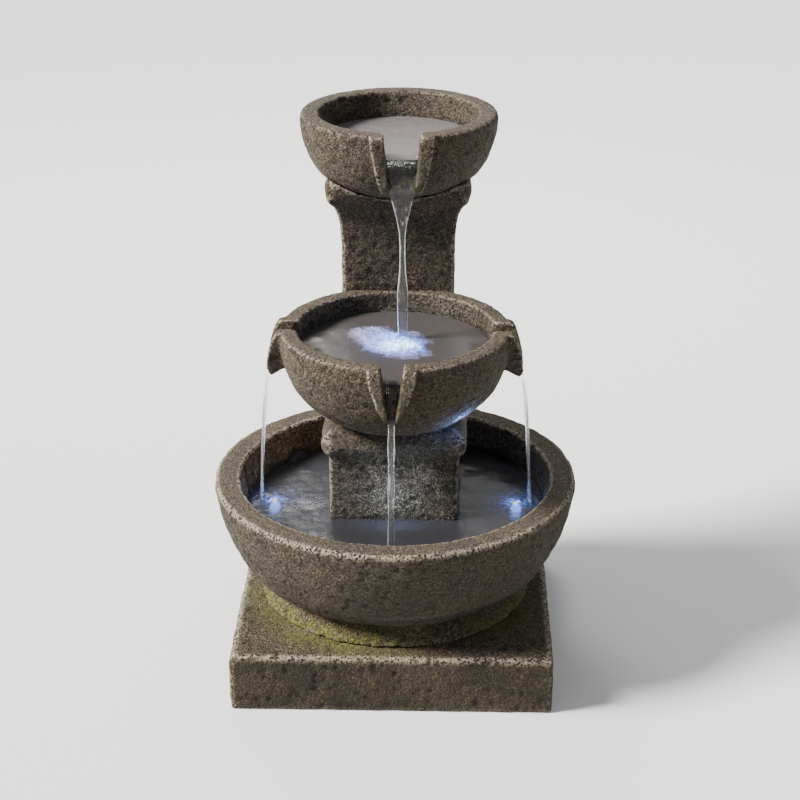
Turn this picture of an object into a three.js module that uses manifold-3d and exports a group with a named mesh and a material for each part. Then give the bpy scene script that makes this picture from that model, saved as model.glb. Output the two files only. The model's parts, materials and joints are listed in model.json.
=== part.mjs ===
// A tabletop water fountain: three cast stone-look bowls stepped up a plinth, a pedestal and a
// rear column. A submersible pump in the pedestal lifts water through a riser tube to the top
// bowl. It spills from one spout to the middle bowl, and from three spouts back to the basin.
// Millimetres, +Z up, front towards -Y, origin at the centre of the underside.
import * as THREE from "three";
import { mergeVertices } from "three/addons/utils/BufferGeometryUtils.js";
import Module from "manifold-3d";

const wasm = await Module();
wasm.setup();

// Driving dimensions
const GAP = 0.3;
const PLINTH = { half: 103.5, top: 39, wall: 8, bevel: 3, mat: 3 };
const BASIN = { rim: 120, lip: 17.3, top: 121.6, floor: 64, foot: 91 };
const MIDDLE = { x: 0, y: 3, rim: 75.2, lip: 12.1, top: 224.4, floor: 180 };
const TOP = { x: 0, y: 96, rim: 66.3, lip: 13.1, top: 342, floor: 303 };
const TOP_TURN = 3.2;
const PIER = { half: 42.4, front: -27, back: 69.3, top: 164, rear: 100, shelf: 121.4 };
const COLUMN = { half: 38.8, front: 69.6, back: 112, foot: 121.9, top: 310 };
const PIER_ROOM = { half: 34, front: -19, back: 57, rear: 80, shelf: 112, top: 156 };
const COLUMN_ROOM = { half: 30, front: 76, back: 105, top: 274 };
const WINDOW = { half: 12, low: 130, high: 154 };
const DOOR = { half: 26, low: 131, high: 216 };
const LAMP = { radius: 11, reach: 81, base: 74, cup: 17, wall: 2, floor: 4, chips: 3, chipCircle: 4 };
const LEAD_RADIUS = 1.6;
const PUMP_LEAD_RADIUS = 2.2;
const RISER = { radius: 4.4, bore: 3.1, top: 272 };
const PUMP = { z: 84, half: 20, low: 72, high: 112, front: 20, back: 54 };
const OUTLET = { y: 14.65, top: 114, radius: 5, bore: 3.1 };
const WELL = { radius: 8.4, back: 47 };
const PLATE = { thick: 4, half: 16.2, low: 75.8, high: 108.7 };
const CORE = { half: 15.6, leg: 5.2, low: 78, bridge: 99, high: 105.4, front: 30, back: 46 };
const COIL = { half: 8.5, front: 26.6, back: 49, low: 95.6, high: 107.1 };
const MAGNET_RING = { radius: 7.6, bore: 1.4, front: 21, back: 44 };
const SHAFT = { radius: 1.1, front: 11.4, back: 46.7 };
const BUSH = { bore: 1.3, rear: [7.9, 44.5, 46.7], front: [2.9, 11.3, 13] };
const IMPELLER = { bore: 1.4, hub: 3, disc: 9.6, front: 14, face: 18, back: 19.4, end: 20.7 };
const BLADES = { count: 6, from: 2.2, to: 10.4, front: 14.2, back: 18.4, half: 0.7 };
const VOLUTE = { radius: 15.4, room: 12.4, front: 9.6, floor: 13, boss: 3.2, rest: 11 };
const PORTS = { count: 6, radius: 2, circle: 7 };
const COVER = { half: 17, tall: 15, wall: 2, slotTall: 11, slots: [-13, -9.5, 9.5, 13], face: 1 };
const DIAL = { radius: 6.8, front: -0.7, grip: 1.2, gripOut: -2.6, gripTall: 6, port: 2.4, portX: 4 };
const CUPS = { xs: [-12, 12], ys: [27, 46] };
const INLETS = { ys: [22, 34, 46], half: 3, low: 68, high: 86 };
const LEAD_HOLE = { radius: 3, z: 80 };
const FITTING = { bore: 3, neck: 5, seat: 5.2, flange: 10, rise: 2.2, thick: 1.6 };
const NUT = { across: 9.6, tall: 6, bore: 5.3 };
const FITTING_HOLE = { bowl: 5.4, column: 11 };
const BOX = { half: 15, back: -6, low: 124, high: 139 };
const ROUND_STEPS = 48;
const SMALL_STEPS = 20;
const TUBE_SIDES = 8;
const PORT_STEPS = 10;
const PLAN_CORNER = 9;
const MERGE = 1e-4;

const finish = (color, roughness, metalness = 0) => () =>
  new THREE.MeshStandardMaterial({ color, roughness, metalness });
const STONE = finish(0x5d5042, 0.9);
const RUBBER = finish(0x1d1d1f, 0.8);
const PLASTIC = finish(0x22262a, 0.45);
const CLEAR = finish(0xdfeeff, 0.1);
const STEEL = finish(0x9a9da0, 0.4, 1);
const COPPER = finish(0xb06a3a, 0.35, 1);
const MAGNET = finish(0x3a3a3c, 0.6);
const CERAMIC = finish(0xece8de, 0.3);
const BOARD = finish(0xf2f2ec, 0.5);
const FOAM = finish(0x2b2f33, 1);
const TUBING = finish(0xc9d3d6, 0.25);

const fountain = new THREE.Group();

// A closed geometry as a solid that can be joined and cut.
function solid(geometry) {
  const bare = geometry.index ? geometry.toNonIndexed() : geometry;
  const points = new THREE.BufferGeometry();
  points.setAttribute("position", bare.getAttribute("position"));
  const merged = mergeVertices(points, MERGE);
  const corners = merged.index.array;
  const triVerts = [];
  for (let i = 0; i < corners.length; i += 3) {
    const [a, b, c] = corners.slice(i, i + 3);
    if (a !== b && b !== c && c !== a) triVerts.push(a, b, c);
  }
  return new wasm.Manifold(
    new wasm.Mesh({
      numProp: 3,
      vertProperties: merged.attributes.position.array,
      triVerts: new Uint32Array(triVerts),
    }),
  );
}

function add(name, body, material) {
  const { vertProperties, triVerts } = body.getMesh();
  const geometry = new THREE.BufferGeometry();
  geometry.setAttribute("position", new THREE.BufferAttribute(vertProperties, 3));
  geometry.setIndex(new THREE.BufferAttribute(triVerts, 1));
  geometry.computeVertexNormals();
  const mesh = new THREE.Mesh(geometry, material());
  mesh.name = name;
  fountain.add(mesh);
}

// A box between two corners.
function block(x0, x1, y0, y1, z0, z1) {
  const box = new THREE.BoxGeometry(x1 - x0, y1 - y0, z1 - z0);
  return solid(box.translate((x0 + x1) / 2, (y0 + y1) / 2, (z0 + z1) / 2));
}

// A body turned about an upright axis from [radius, height] points that run up the outside.
function turned(profile, x = 0, y = 0, steps = ROUND_STEPS) {
  const points = profile.map(([r, z]) => new THREE.Vector2(r, z));
  const lathe = new THREE.LatheGeometry(points, steps);
  return solid(lathe.rotateX(Math.PI / 2).translate(x, y, 0));
}

// A turned body whose axis lies along Y: the profile's heights become distances from y = 0.
function turnedAlongY(profile, x, z, steps = SMALL_STEPS) {
  const points = profile.map(([r, y]) => new THREE.Vector2(r, y));
  return solid(new THREE.LatheGeometry(points, steps).translate(x, 0, z));
}

function rod(radius, z0, z1, x = 0, y = 0) {
  return turned([[0, z0], [radius, z0], [radius, z1], [0, z1]], x, y, SMALL_STEPS);
}

function ring(outer, inner, z0, z1, x = 0, y = 0) {
  return turned([[inner, z0], [outer, z0], [outer, z1], [inner, z1], [inner, z0]], x, y, SMALL_STEPS);
}

function rodAlongY(radius, y0, y1, x, z, steps = SMALL_STEPS) {
  return turnedAlongY([[0, y0], [radius, y0], [radius, y1], [0, y1]], x, z, steps);
}

// Outlines for extruding. A front outline lies in X and Z, and a side outline in Y and Z.
const outline = (points) => new THREE.Shape(points.map(([a, b]) => new THREE.Vector2(a, b)));

function frontExtrusion(points, y0, y1) {
  const slab = new THREE.ExtrudeGeometry(outline(points), { depth: y1 - y0, bevelEnabled: false });
  return solid(slab.rotateX(Math.PI / 2).translate(0, y1, 0));
}

function sideExtrusion(points, half) {
  const slab = new THREE.ExtrudeGeometry(outline(points), { depth: 2 * half, bevelEnabled: false });
  slab.rotateX(Math.PI / 2).rotateZ(Math.PI / 2);
  return solid(slab.translate(-half, 0, 0));
}

// A flexible tube of one section along a smooth curve through its points.
function tube(points, radius, steps, bore = 0) {
  const section = new THREE.Shape().absarc(0, 0, radius, 0, 2 * Math.PI);
  if (bore) section.holes.push(new THREE.Path().absarc(0, 0, bore, 0, 2 * Math.PI, true));
  const extrudePath = new THREE.CatmullRomCurve3(points.map((p) => new THREE.Vector3(...p)));
  const curveSegments = TUBE_SIDES / 2;
  return solid(new THREE.ExtrudeGeometry(section, { steps, curveSegments, extrudePath }));
}

// A block of rectangular plan whose sides swell outwards by [height, grow] points.
function moulded(swell, half, front, back, backSwell = true) {
  const rising = swell.map(([z, grow]) => [half + grow, z]);
  const falling = rising.map(([x, z]) => [-x, z]).reverse();
  const forward = swell.map(([z, grow]) => [front - grow, z]).reverse();
  const rearward = swell.map(([z, grow]) => [back + (backSwell ? grow : 0), z]);
  const depth = [front - half, back + half];
  const face = frontExtrusion([...rising, ...falling], ...depth);
  return face.intersect(sideExtrusion([...rearward, ...forward], 2 * half));
}

// The bowls' outsides and insides, as [radius, height] points from the bottom up.
const below = (bowl, points) => points.map(([inset, depth]) => [bowl.rim - inset, bowl.top - depth]);
const BASIN_OUTSIDE = [
  [0, 50], [60, 50], [62, 39.3], [BASIN.foot, 39.3], [90.2, 43], [86.5, 47.5], [83, 50.5],
  [84.5, 52.8], [94.2, 58], [101.8, 66], [107.5, 76], [112.8, 88], [117.2, 102], [119.4, 113],
];
const MIDDLE_OUTSIDE = below(MIDDLE, [
  [75.2, 62.4], [40, 62], [29.5, 57.4], [21, 51.2], [14, 44.6], [9.5, 38.8], [5.4, 31.2], [2.6, 23.5],
  [0.7, 15], [0, 7],
]);
const TOP_OUTSIDE = below(TOP, [
  [66.3, 52], [38, 51.4], [27, 48.6], [18.5, 44], [12, 39], [8.6, 34.5], [5.3, 28], [2.7, 21],
  [0.6, 13], [0, 6],
]);
const BASIN_INSIDE = [[0, 64], [82, 64], [88.5, 67.5], [94, 77], [97.3, 88], [99.4, 100], [101.5, 112]];
const MIDDLE_INSIDE = [[0, 180], [28, 181.5], [44, 186.5], [54.5, 195], [60, 205], [62.4, 216]];
const TOP_INSIDE = [[0, 303], [20, 303.6], [35, 308], [45, 315], [50.8, 325], [52.7, 335]];

// The rim's flat top between its rounded corners, joined to an outside and an inside.
function bowl(dim, outside, inside) {
  const inner = dim.rim - dim.lip;
  const rimTop = [
    [dim.rim, dim.top - 2.4], [dim.rim - 0.7, dim.top - 0.7], [dim.rim - 2.4, dim.top],
    [inner + 2.2, dim.top], [inner + 0.6, dim.top - 0.6], [inner, dim.top - 2.2],
  ];
  return turned([...outside, ...rimTop, ...[...inside].reverse()], dim.x ?? 0, dim.y ?? 0);
}

// The space that a bowl fills, grown by the gap, to cut its seat in what carries it.
function seat(dim, outside) {
  const grown = outside.map(([r, z]) => [r ? r + GAP : 0, z - GAP]);
  return turned([...grown, [dim.rim + GAP, dim.top], [0, dim.top]], dim.x, dim.y);
}

// A spout: a beak that narrows downwards, and the channel cut through it and the rim.
// Both are made pointing to -Y from the bowl's axis and then turned to their place.
function spout(dim, size, angle) {
  const mirrored = (halves) => [...halves, ...halves.map(([x, z]) => [-x, z]).reverse()];
  const along = (points) => points.map(([r, z]) => [-r, z]);
  const place = (body) => body.rotate([0, 0, angle]).translate([dim.x, dim.y, 0]);
  const widest = size.cheeks.at(-1)[0] + 1;
  const beakSide = sideExtrusion(along(size.beak), widest);
  const beak = beakSide.intersect(frontExtrusion(mirrored(size.cheeks), -100, 0));
  const above = size.slot.at(-1)[1];
  const inward = size.floor[0][0];
  const channel = [...size.floor, [size.floor.at(-1)[0], above], [inward, above]];
  const slotSide = sideExtrusion(along(channel), widest);
  const slot = slotSide.intersect(frontExtrusion(mirrored(size.slot), -100, 0));
  const { near, far, wide, narrow } = size.flare;
  const inner = 10 - near;
  const mouth = outline([
    [-wide, -near], [-narrow, -far], [narrow, -far], [wide, -near], [wide, inner], [-wide, inner],
  ]);
  const depth = above - size.floor[0][1];
  const flare = solid(new THREE.ExtrudeGeometry(mouth, { depth, bevelEnabled: false }));
  return { beak: place(beak), slot: place(slot.add(flare.translate([0, 0, size.floor[0][1]]))) };
}

const MIDDLE_SPOUT = {
  cheeks: [[3.2, 186], [3.2, 191.5], [6.6, 197], [9.8, 203], [13, 211], [14.8, 218], [15.6, 224.4]],
  slot: [[1.4, 186], [2, 191.5], [3.2, 199], [4.9, 209], [7.2, 224.4], [8, 230]],
  beak: [
    [64, 198], [71, 196.4], [74.5, 194.2], [78, 191.4], [81, 190.2], [82.8, 192], [83.5, 196.5], [83, 203],
    [81.4, 211.5], [79, 219], [76.4, 223.6], [74, 224.4], [66, 224.4], [62, 212],
  ],
  floor: [[54, 208.4], [66, 206.5], [74, 202], [79.5, 196.4], [82.4, 190.4], [100, 170]],
  flare: { near: 60, far: 67.5, wide: 9.6, narrow: 6.4 },
};
const TOP_SPOUT = {
  cheeks: [[12.9, 298], [13.4, 305], [16.4, 315], [19, 327], [21.2, 342]],
  slot: [[8.3, 298], [8.6, 308], [10, 322], [12, 342], [12.7, 347]],
  beak: [
    [50, 299], [60, 302.5], [66.5, 306], [69, 308.6], [69.4, 313], [68.6, 325], [67.8, 336], [66.6, 341.4],
    [64, 342], [56, 342], [50, 325],
  ],
  floor: [[46, 321.5], [56, 320.5], [63, 315.5], [68.6, 308.8], [100, 285]],
  flare: { near: 50.5, far: 57, wide: 14, narrow: 11.4 },
};

function spoutedBowl(dim, outside, inside, size, angles) {
  let cast = bowl(dim, outside, inside);
  const room = [[0, dim.floor - 2], ...inside.slice(1), [dim.rim - dim.lip, dim.top], [0, dim.top]];
  const hollow = turned(room, dim.x, dim.y);
  const spouts = angles.map((angle) => spout(dim, size, angle));
  for (const { beak } of spouts) cast = cast.add(beak.subtract(hollow));
  for (const { slot } of spouts) cast = cast.subtract(slot);
  return cast;
}

// A prism of rectangular plan with rounded corners, to soften the corners of a moulding.
function roundedPlan(half, front, back) {
  const r = PLAN_CORNER;
  const plan = new THREE.Shape();
  plan.absarc(half - r, front + r, r, -Math.PI / 2, 0);
  plan.absarc(half - r, back - r, r, 0, Math.PI / 2);
  plan.absarc(r - half, back - r, r, Math.PI / 2, Math.PI);
  plan.absarc(r - half, front + r, r, Math.PI, 1.5 * Math.PI);
  const size = { depth: TOP.top, curveSegments: 4, bevelEnabled: false };
  return solid(new THREE.ExtrudeGeometry(plan, size));
}

function makeBase() {
  const { half, top, wall, bevel, mat } = PLINTH;
  const edge = [[0, -0.8], [0.8, 0], [top - bevel, 0], [top - bevel / 3, -bevel / 3], [top, -bevel]];
  const cast = moulded(edge, half, -half, half);
  const room = half - wall;
  const matHalf = room - GAP;
  add("base_mat", block(-matHalf, matHalf, -matHalf, matHalf, 0, mat), RUBBER);
  add("plinth", cast.subtract(block(-room, room, -room, room, -1, top - wall)), STONE);
}

function makeBasin() {
  let cast = bowl(BASIN, BASIN_OUTSIDE, BASIN_INSIDE);
  for (const side of [-1, 1]) cast = cast.add(rod(9, 60, LAMP.base - GAP, side * LAMP.reach));
  const hole = rodAlongY(GROMMET.hole, -130, -80, 0, GROMMET.z);
  add("lower_basin", cast.subtract(toGrommet(hole)), STONE);
}

// The power lead's way out: a rubber grommet in the basin's rear left wall. It is made along -Y
// from the basin's axis and then turned to its place.
const GROMMET = {
  degrees: 133, z: 95.5, hole: 6.6, bore: 3.2, flange: 9, outside: 118.6, wall: 99.6, face: 93.4,
};
const toGrommet = (body) => body.rotate([0, 0, -GROMMET.degrees]);

function makeGrommet() {
  const { hole, bore, flange, outside, wall, face, z } = GROMMET;
  const sleeve = hole - GAP;
  const profile = [
    [bore, -outside], [sleeve, -outside], [sleeve, -wall], [flange, -wall], [flange, -face - 1],
    [flange - 1.4, -face], [bore + 0.8, -face], [bore, -face - 0.8], [bore, -outside],
  ];
  const inner = BASIN_INSIDE.slice(3).map(([r, h]) => [r - GAP, h + GAP]);
  const casting = turned([...inner, [130, 121.6], [130, 60], inner[0]].reverse());
  const shank = rodAlongY(hole - 0.1, -outside - 1, -80, 0, z);
  const body = toGrommet(turnedAlongY(profile, 0, z));
  add("cord_grommet", body.subtract(casting.subtract(toGrommet(shank))), RUBBER);
}

function makePedestal() {
  const { half, front, back, top, rear, shelf } = PIER;
  const low = BASIN.floor + GAP;
  const capital = [
    [low, 0], [144, 0], [145.2, 0.4], [146.6, 2.6], [149, 4.4], [152, 5.2], [155, 5], [158, 3.8],
    [160.6, 1.6], [162.6, -1.6], [top, -6],
  ];
  const plan = roundedPlan(half + 5.3, front - 5.3, back + 20);
  let cast = moulded(capital, half, front, back, false).intersect(plan);
  cast = cast.add(block(-half, half, back - 10, rear, low, shelf));
  const room = PIER_ROOM;
  cast = cast.subtract(block(-room.half, room.half, room.front, room.rear, low - 1, room.shelf));
  cast = cast.subtract(block(-room.half, room.half, room.front, room.back, room.shelf - 1, room.top));
  cast = cast.subtract(block(-WINDOW.half, WINDOW.half, room.back - 1, back + 1, WINDOW.low, WINDOW.high));
  for (const y of INLETS.ys) {
    const inlet = block(-60, 60, y - INLETS.half, y + INLETS.half, INLETS.low, INLETS.high);
    cast = cast.subtract(inlet);
  }
  const { radius, z } = LEAD_HOLE;
  const across = new THREE.CylinderGeometry(radius, radius, 120, 12).rotateZ(Math.PI / 2);
  cast = cast.subtract(solid(across.translate(0, 0, z)));
  cast = cast.subtract(rod(radius, 150, 175, MIDDLE.x, MIDDLE.y));
  cast = cast.subtract(seat(MIDDLE, MIDDLE_OUTSIDE));
  const wallCut = BASIN_INSIDE.slice(1).map(([r, z]) => [r - GAP, z]);
  const rimCut = BASIN.rim - BASIN.lip - GAP;
  const wall = turned([...wallCut, [rimCut, 130], [150, 130], [150, 64], wallCut[0]].reverse());
  add("pedestal", cast.subtract(wall), STONE);
}

function makeMiddleBowl() {
  let cast = spoutedBowl(MIDDLE, MIDDLE_OUTSIDE, MIDDLE_INSIDE, MIDDLE_SPOUT, [0, -90, 90]);
  const { half, front, back } = COLUMN;
  cast = cast.subtract(block(-half - 2, half + 2, front - GAP, back, 100, 300));
  add("middle_bowl", cast.subtract(rod(LEAD_HOLE.radius, 160, 190, MIDDLE.x, MIDDLE.y)), STONE);
}

function makeColumn() {
  const { half, front, back, foot, top } = COLUMN;
  const swell = [
    [foot, 0], [225, -0.6], [258, -0.4], [270, 0.4], [277, 1.8], [280.4, 3.2], [283, 3.6],
    [285.4, 5.8], [289, 8.4], [293.4, 9.8], [298.4, 10.2], [302.6, 9.2], [306, 6.4], [308.4, 2.6],
    [top, -2],
  ];
  const plan = roundedPlan(half + 10.3, front - 10.3, back + 10.3);
  let cast = moulded(swell, half, front, back).intersect(plan);
  const room = COLUMN_ROOM;
  cast = cast.subtract(block(-room.half, room.half, room.front, room.back, foot - 1, room.top));
  cast = cast.subtract(block(-DOOR.half, DOOR.half, room.back - 1, back + 2, DOOR.low, DOOR.high));
  const { half: pass, low, high } = WINDOW;
  cast = cast.subtract(block(-pass, pass, front - 2, room.front + 1, low, high));
  cast = cast.subtract(rod(FITTING_HOLE.column, room.top - 1, 300, TOP.x, TOP.y));
  cast = cast.subtract(seat(TOP, TOP_OUTSIDE));
  add("rear_column", cast, STONE);
}

function makeDoor() {
  const { half, low, high } = DOOR;
  const face = COLUMN.back - 0.6;
  const edge = half - GAP;
  const cast = block(-edge, edge, COLUMN_ROOM.back + GAP, face, low + GAP, high - GAP);
  const pull = block(-9, 9, face - 3, face + 1, high - 17, high - 8);
  add("access_door", cast.subtract(pull), STONE);
}

function makeTopBowl() {
  const cast = spoutedBowl(TOP, TOP_OUTSIDE, TOP_INSIDE, TOP_SPOUT, [TOP_TURN]);
  add("top_bowl", cast.subtract(rod(FITTING_HOLE.bowl, 280, 310, TOP.x, TOP.y)), STONE);
}

// The submersible pump lies along Y in the pedestal, with its intake towards the front.
function makePump() {
  const { z, half, low, high, front, back } = PUMP;
  const plateFace = back - PLATE.thick;
  const play = PLATE.half + GAP;
  let shell = block(-half, half, front, back, low, high);
  shell = shell.subtract(rodAlongY(WELL.radius, front - 1, WELL.back, 0, z));
  shell = shell.subtract(block(-play, play, plateFace, back + 1, PLATE.low - GAP, PLATE.high + GAP));
  const legMiddle = CORE.half - CORE.leg / 2;
  const legRoom = CORE.leg / 2 + 0.4;
  for (const x of [-legMiddle, legMiddle]) {
    shell = shell.subtract(block(x - legRoom, x + legRoom, COIL.front - 0.6, back, 77, 106));
  }
  shell = shell.subtract(block(-16, 16, COIL.front - 0.6, back, COIL.low - 0.6, COIL.high + 0.4));
  add("pump_housing", shell, PLASTIC);
  const plate = block(-PLATE.half, PLATE.half, plateFace + GAP, back - 0.4, PLATE.low, PLATE.high);
  add("motor_backplate", plate, PLASTIC);
  makeMotor();
  makeVolute();
  makeIntake();
  const places = CUPS.ys.flatMap((y) => CUPS.xs.map((x) => [x, y]));
  for (const [i, [x, y]] of places.entries()) makeSuctionCup(`suction_cup_${i + 1}`, x, y);
}

function makeSuctionCup(name, x, y) {
  const floor = BASIN.floor + GAP;
  const top = PUMP.low - GAP;
  const cup = [
    [0, floor + 2], [4.5, floor + 1.2], [7, floor], [7.4, floor + 0.6], [4.6, floor + 3.4],
    [2.6, floor + 4.2], [2.6, top], [0, top],
  ];
  add(name, turned(cup, x, y, 16), RUBBER);
}

// A hollow turned ring along the pump's axis.
function sleeve(bore, radius, y0, y1) {
  const profile = [[bore, y0], [radius, y0], [radius, y1], [bore, y1], [bore, y0]];
  return turnedAlongY(profile, 0, PUMP.z);
}

function makeMotor() {
  const { half, leg, low, bridge, high, front, back } = CORE;
  const inner = half - leg;
  const arch = [
    [-half, low], [-inner, low], [-inner, bridge], [inner, bridge], [inner, low], [half, low],
    [half, high], [-half, high],
  ];
  add("stator_core", frontExtrusion(arch, front, back), STEEL);
  const winding = block(-COIL.half, COIL.half, COIL.front, COIL.back, COIL.low, COIL.high);
  const windowHalf = COIL.half + 0.5;
  const window = block(-windowHalf, windowHalf, front - GAP, back + GAP, bridge - GAP, high + GAP);
  add("stator_coil", winding.subtract(window), COPPER);
  const magnet = MAGNET_RING;
  add("rotor_magnet", sleeve(magnet.bore, magnet.radius, magnet.front, magnet.back), MAGNET);
  add("impeller_shaft", rodAlongY(SHAFT.radius, SHAFT.front, SHAFT.back, 0, PUMP.z), CERAMIC);
  add("rear_bush", sleeve(BUSH.bore, ...BUSH.rear), RUBBER);
  add("front_bush", sleeve(BUSH.bore, ...BUSH.front), RUBBER);
  add("impeller", makeImpeller(), PLASTIC);
}

function makeImpeller() {
  const { bore, hub, disc, front, face, back, end } = IMPELLER;
  const profile = [
    [bore, front], [hub, front], [hub, face], [disc, face], [disc, back], [hub, back], [hub, end],
    [bore, end], [bore, front],
  ];
  let wheel = turnedAlongY(profile, 0, PUMP.z);
  for (let i = 0; i < BLADES.count; i++) {
    const flat = block(BLADES.from, BLADES.to, BLADES.front, BLADES.back, -BLADES.half, BLADES.half);
    const blade = flat.rotate([0, (360 * i) / BLADES.count, 0]);
    wheel = wheel.add(blade.translate([0, 0, PUMP.z]));
  }
  return wheel;
}

function makeVolute() {
  const { z } = PUMP;
  const { radius, room, front, floor, boss, rest } = VOLUTE;
  const rear = PUMP.front - GAP;
  const cup = [
    [0, front], [radius, front], [radius, rear], [room, rear], [room, floor], [boss, floor],
    [boss, rest], [0, rest],
  ];
  let volute = turnedAlongY(cup, 0, z);
  for (let i = 0; i < PORTS.count; i++) {
    const turn = (2 * Math.PI * i) / PORTS.count;
    const x = PORTS.circle * Math.cos(turn);
    const height = z + PORTS.circle * Math.sin(turn);
    volute = volute.subtract(rodAlongY(PORTS.radius, front - 0.6, floor + 1, x, height, PORT_STEPS));
  }
  add("pump_volute", volute.subtract(rod(OUTLET.bore, z + 8, z + 20, 0, OUTLET.y)), PLASTIC);
  const nozzle = ring(OUTLET.radius, OUTLET.bore, z + 11, OUTLET.top, 0, OUTLET.y);
  add("pump_outlet", nozzle.subtract(rodAlongY(radius + GAP, 0, 40, 0, z)), PLASTIC);
}

// The intake: a pull-off cover with a slotted front, the sponge in it, and the flow dial on it.
function makeIntake() {
  const { z } = PUMP;
  const { half, tall, wall, slotTall, slots, face } = COVER;
  const rear = VOLUTE.front - GAP;
  const [roomHalf, roomTall, roomFront] = [half - wall, tall - wall, face + wall];
  let cover = block(-half, half, face, rear, z - tall, z + tall);
  cover = cover.subtract(block(-roomHalf, roomHalf, roomFront, rear + 1, z - roomTall, z + roomTall));
  for (const x of slots) {
    cover = cover.subtract(block(x - 1, x + 1, 0, roomFront + 1, z - slotTall, z + slotTall));
  }
  add("intake_cover", cover.subtract(rodAlongY(3, 0, roomFront + 1, 0, z + 3.6)), PLASTIC);
  const [spongeHalf, spongeTall] = [roomHalf - GAP, roomTall - GAP];
  const spongeFront = roomFront + GAP;
  const sponge = block(-spongeHalf, spongeHalf, spongeFront, rear - 0.5, z - spongeTall, z + spongeTall);
  add("filter_sponge", sponge, FOAM);
  const { radius, front, grip, gripOut, gripTall, port, portX } = DIAL;
  const disc = rodAlongY(radius, front, face - GAP, 0, z);
  const dial = disc.add(block(-grip, grip, gripOut, 0, z - gripTall, z + gripTall));
  add("flow_dial", dial.subtract(rodAlongY(port, -3, 2, portX, z + 0.2)), PLASTIC);
}

function makeRiser() {
  const { x, y, floor } = TOP;
  const route = [
    [0, OUTLET.y, OUTLET.top + GAP], [0, OUTLET.y, 122], [0, 20, 134], [0, 34, 142], [0, 60, 142.5],
    [0, 78, 144], [1, 90, 154], [2, 95.5, 172], [x, y, 190], [x, y, 230], [x, y, RISER.top],
  ];
  add("riser_tube", tube(route, RISER.radius, 28, RISER.bore), TUBING);
  const start = RISER.top + GAP;
  const flange = floor + FITTING.rise;
  const end = flange + 6;
  const fitting = [
    [FITTING.bore, start], [FITTING.neck, start], [FITTING.neck, flange], [FITTING.flange, flange],
    [FITTING.flange, flange + FITTING.thick], [FITTING.seat, flange + FITTING.thick + 1],
    [FITTING.seat, end], [FITTING.bore, end], [FITTING.bore, start],
  ];
  add("bowl_fitting", turned(fitting, x, y, SMALL_STEPS), PLASTIC);
  const gasket = ring(NUT.across, NUT.bore, floor + 0.5, flange - GAP, x, y);
  add("fitting_gasket", gasket, RUBBER);
  const underside = TOP_OUTSIDE[0][1] - GAP;
  const hexagon = new THREE.CylinderGeometry(NUT.across, NUT.across, NUT.tall, 6);
  const nut = solid(hexagon.rotateX(Math.PI / 2).translate(x, y, underside - NUT.tall / 2));
  add("fitting_nut", nut.subtract(rod(NUT.bore, 270, 300, x, y)), PLASTIC);
}

// A lamp: a cup with a round board, a clear lens pushed into its mouth, and a seal between them.
function makeLamp(side, x, y, base) {
  const r = LAMP.radius;
  const mouth = base + LAMP.cup;
  const room = base + LAMP.floor;
  const inner = r - LAMP.wall;
  const cup = [[0, base], [r - 1, base], [r, base + 1], [r, mouth], [inner, mouth], [inner, room], [0, room]];
  add(`lamp_cup_${side}`, turned(cup, x, y, SMALL_STEPS), PLASTIC);
  let board = rod(inner - 0.4, room + GAP, room + 1.9, x, y);
  for (let i = 0; i < LAMP.chips; i++) {
    const turn = (2 * Math.PI * i) / LAMP.chips;
    const [cx, cy] = [x + LAMP.chipCircle * Math.cos(turn), y + LAMP.chipCircle * Math.sin(turn)];
    board = board.add(block(cx - 1.4, cx + 1.4, cy - 1.4, cy + 1.4, room + 1, room + 3));
  }
  add(`lamp_board_${side}`, board, BOARD);
  const lens = [
    [0, mouth - 5], [r - 3.4, mouth - 5], [r - 3.4, mouth + GAP], [r, mouth + GAP], [r, mouth + 1.4],
    [r - 2.2, mouth + 2.8], [5, mouth + 3.6], [0, mouth + 3.8],
  ];
  add(`lamp_lens_${side}`, turned(lens, x, y, SMALL_STEPS), CLEAR);
  add(`lamp_seal_${side}`, ring(r - 2.2, r - 3.2, mouth - 3, mouth - 1, x, y), RUBBER);
}

// The leads run from the lamps and the pump to a potted junction box above the water.
function makeWiring() {
  const { half, back, low, high } = BOX;
  add("junction_box", block(-half, half, PIER_ROOM.front + GAP, back, low, high), PLASTIC);
  const start = LAMP.reach - LAMP.radius - GAP;
  const foot = LEAD_HOLE.z;
  for (const [side, sign] of [["left", -1], ["right", 1]]) {
    const route = [
      [start, 0, foot], [60, 0, foot], [46, 0, foot], [33, 0, foot], [27, -3, 86], [24, -10, 103],
      [15, -12, 111], [10, -12, 117], [10, -12, low - GAP],
    ];
    const mirrored = route.map(([x, y, z]) => [sign * x, y, z]);
    add(`lamp_lead_${side}`, tube(mirrored, LEAD_RADIUS, 16), RUBBER);
  }
  const drop = [
    [0, 3, MIDDLE.floor], [0, 3, 170], [0, 3, 158], [0, 2, 152], [0, -5, 147], [0, -11, 144],
    [0, -12, high + GAP],
  ];
  add("lamp_lead_middle", tube(drop, LEAD_RADIUS, 14), RUBBER);
  const feed = [
    [12, 40, PUMP.high + GAP], [12, 40, 117], [13, 28, 121], [13, 10, 117], [9, -4, 112],
    [4, -11, 113], [3, -12, low - GAP],
  ];
  add("pump_lead", tube(feed, PUMP_LEAD_RADIUS, 20), RUBBER);
}

makeBase();
makeBasin();
makeGrommet();
makePedestal();
makeMiddleBowl();
makeColumn();
makeDoor();
makeTopBowl();
makePump();
makeRiser();
makeLamp("left", -LAMP.reach, 0, LAMP.base);
makeLamp("right", LAMP.reach, 0, LAMP.base);
makeLamp("middle", MIDDLE.x, MIDDLE.y, MIDDLE.floor + 1.6 + GAP);
makeWiring();

export default fountain;
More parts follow.
